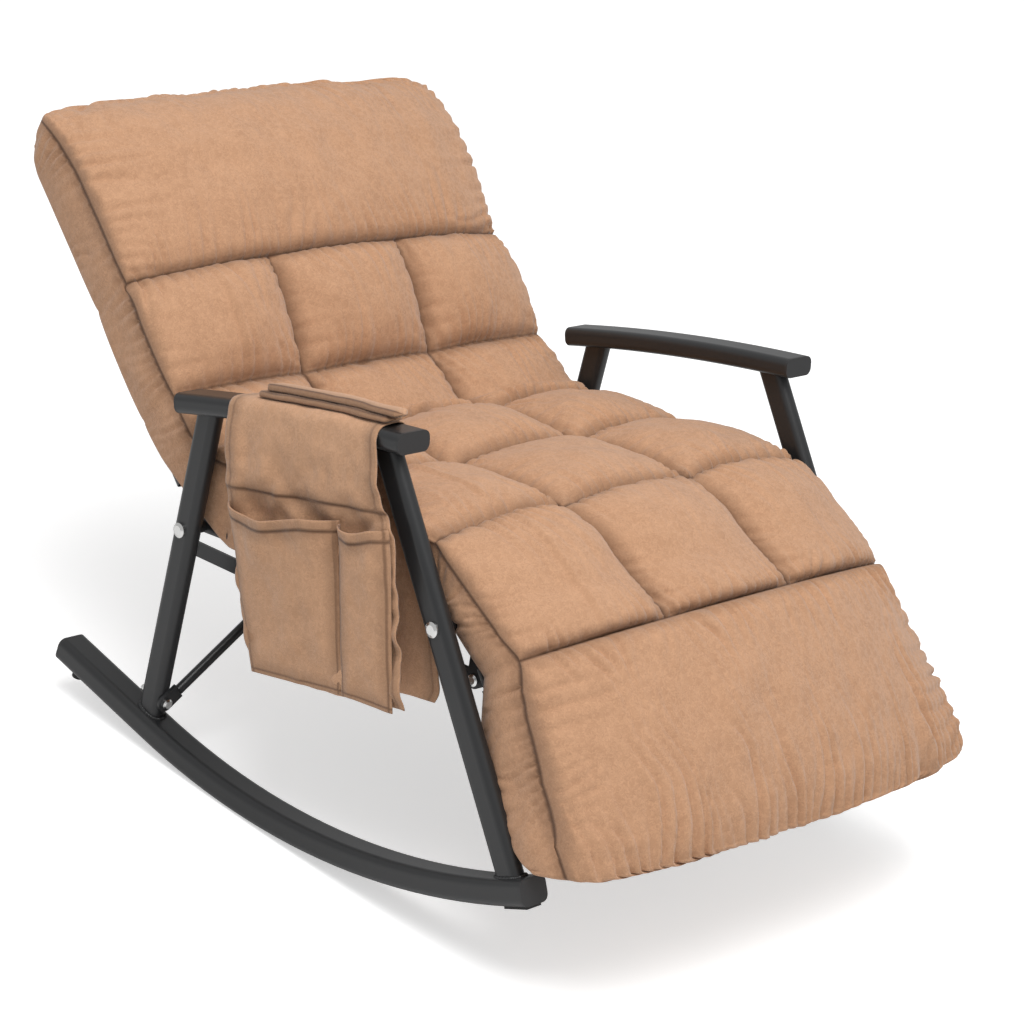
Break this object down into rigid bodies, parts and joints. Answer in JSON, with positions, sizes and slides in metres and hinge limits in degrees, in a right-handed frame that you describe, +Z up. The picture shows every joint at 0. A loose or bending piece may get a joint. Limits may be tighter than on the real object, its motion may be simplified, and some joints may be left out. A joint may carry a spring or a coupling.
{
  "type": "rocking recliner chair",
  "caption": "Rocking recliner on two curved tube runners: quilted suede cushion, back and leg rest that tilt together through side links, and a side bag over one armrest.",
  "frame": {"origin": "the point of the floor that the chair stands on, midway between the two runners, with the chair rocked back to its balance", "axes": "+Z up, the sitter looks towards -Y, +X is to the right of someone who faces the chair's front"},
  "size_m": [0.7383, 1.0815, 0.6894],
  "materials": {
    "black_powder_coat": "satin black powder coat on steel",
    "bright_fasteners": "bright zinc on steel",
    "end_plug_plastic": "fine matt black",
    "floor_rubber": "matt black rubber",
    "sling_cloth": "plain woven black polyester",
    "quilt_suede": "camel brushed microfibre with fine creases",
    "bag_suede": "camel brushed microfibre with stitched hems"
  },
  "bodies": {
    "base": {"runner_left": "black_powder_coat", "runner_right": "black_powder_coat", "front_leg_left": "black_powder_coat", "front_leg_right": "black_powder_coat", "rear_leg_left": "black_powder_coat", "rear_leg_right": "black_powder_coat", "armrest_left": "black_powder_coat", "armrest_right": "black_powder_coat", "seat_rail_left": "black_powder_coat", "seat_rail_right": "black_powder_coat", "runner_end_plugs": "end_plug_plastic", "front_floor_pads": "floor_rubber", "rear_bumpers": "floor_rubber", "armrest_end_plugs": "end_plug_plastic", "front_cross_bar": "black_powder_coat", "rear_cross_bar": "black_powder_coat", "rear_brace_left": "black_powder_coat", "rear_brace_right": "black_powder_coat", "side_bolts": "bright_fasteners", "side_nuts": "bright_fasteners", "side_spacers": "black_powder_coat", "brace_bolts": "bright_fasteners", "back_hinge_bracket_left": "black_powder_coat", "back_hinge_bracket_right": "black_powder_coat", "leg_hinge_bracket_left": "black_powder_coat", "leg_hinge_bracket_right": "black_powder_coat", "back_hinge_pins": "bright_fasteners", "leg_hinge_pins": "bright_fasteners", "seat_sling": "sling_cloth", "seat_cushion": "quilt_suede", "lumbar_roll": "quilt_suede", "knee_roll": "quilt_suede", "side_bag": "bag_suede", "bag_pocket_rear": "bag_suede", "bag_pocket_front": "bag_suede"},
    "backrest": {"back_frame": "black_powder_coat", "back_cross_bar": "black_powder_coat", "back_hinge_plate_left": "black_powder_coat", "back_hinge_plate_right": "black_powder_coat", "back_sling": "sling_cloth", "back_cushion": "quilt_suede", "head_roll": "quilt_suede", "rear_link_pins": "bright_fasteners"},
    "leg_rest": {"leg_rest_frame": "black_powder_coat", "leg_hinge_plate_left": "black_powder_coat", "leg_hinge_plate_right": "black_powder_coat", "leg_rest_sling": "sling_cloth", "leg_pad": "quilt_suede", "front_link_pins": "bright_fasteners"},
    "link_left": {"link_bar_left": "black_powder_coat"},
    "link_right": {"link_bar_right": "black_powder_coat"}
  },
  "joints": [
    {"name": "back_recline", "type": "hinge", "parent": "base", "child": "backrest", "pos_m": [0, 0.2055, 0.2786], "axis": [-1, 0, 0], "range_deg": [-5, 30], "deforming": ["lumbar_roll"]},
    {"name": "leg_rest_raise", "type": "hinge", "parent": "base", "child": "leg_rest", "pos_m": [0, -0.26999, 0.3259], "axis": [-1, 0, 0], "range_deg": [-5, 30], "deforming": ["knee_roll"]},
    {"name": "link_pivot_left", "type": "hinge", "parent": "backrest", "child": "link_left", "pos_m": [0, 0.20495, 0.2336], "axis": [-1, 0, 0], "range_deg": [-30, 5]},
    {"name": "link_pivot_right", "type": "hinge", "parent": "backrest", "child": "link_right", "pos_m": [0, 0.20495, 0.2336], "axis": [-1, 0, 0], "range_deg": [-30, 5]}
  ],
  "couplings": [
    {"joint": "leg_rest_raise", "follows": "back_recline", "ratio": 1},
    {"joint": "link_pivot_left", "follows": "back_recline", "ratio": -1},
    {"joint": "link_pivot_right", "follows": "back_recline", "ratio": -1}
  ]
}
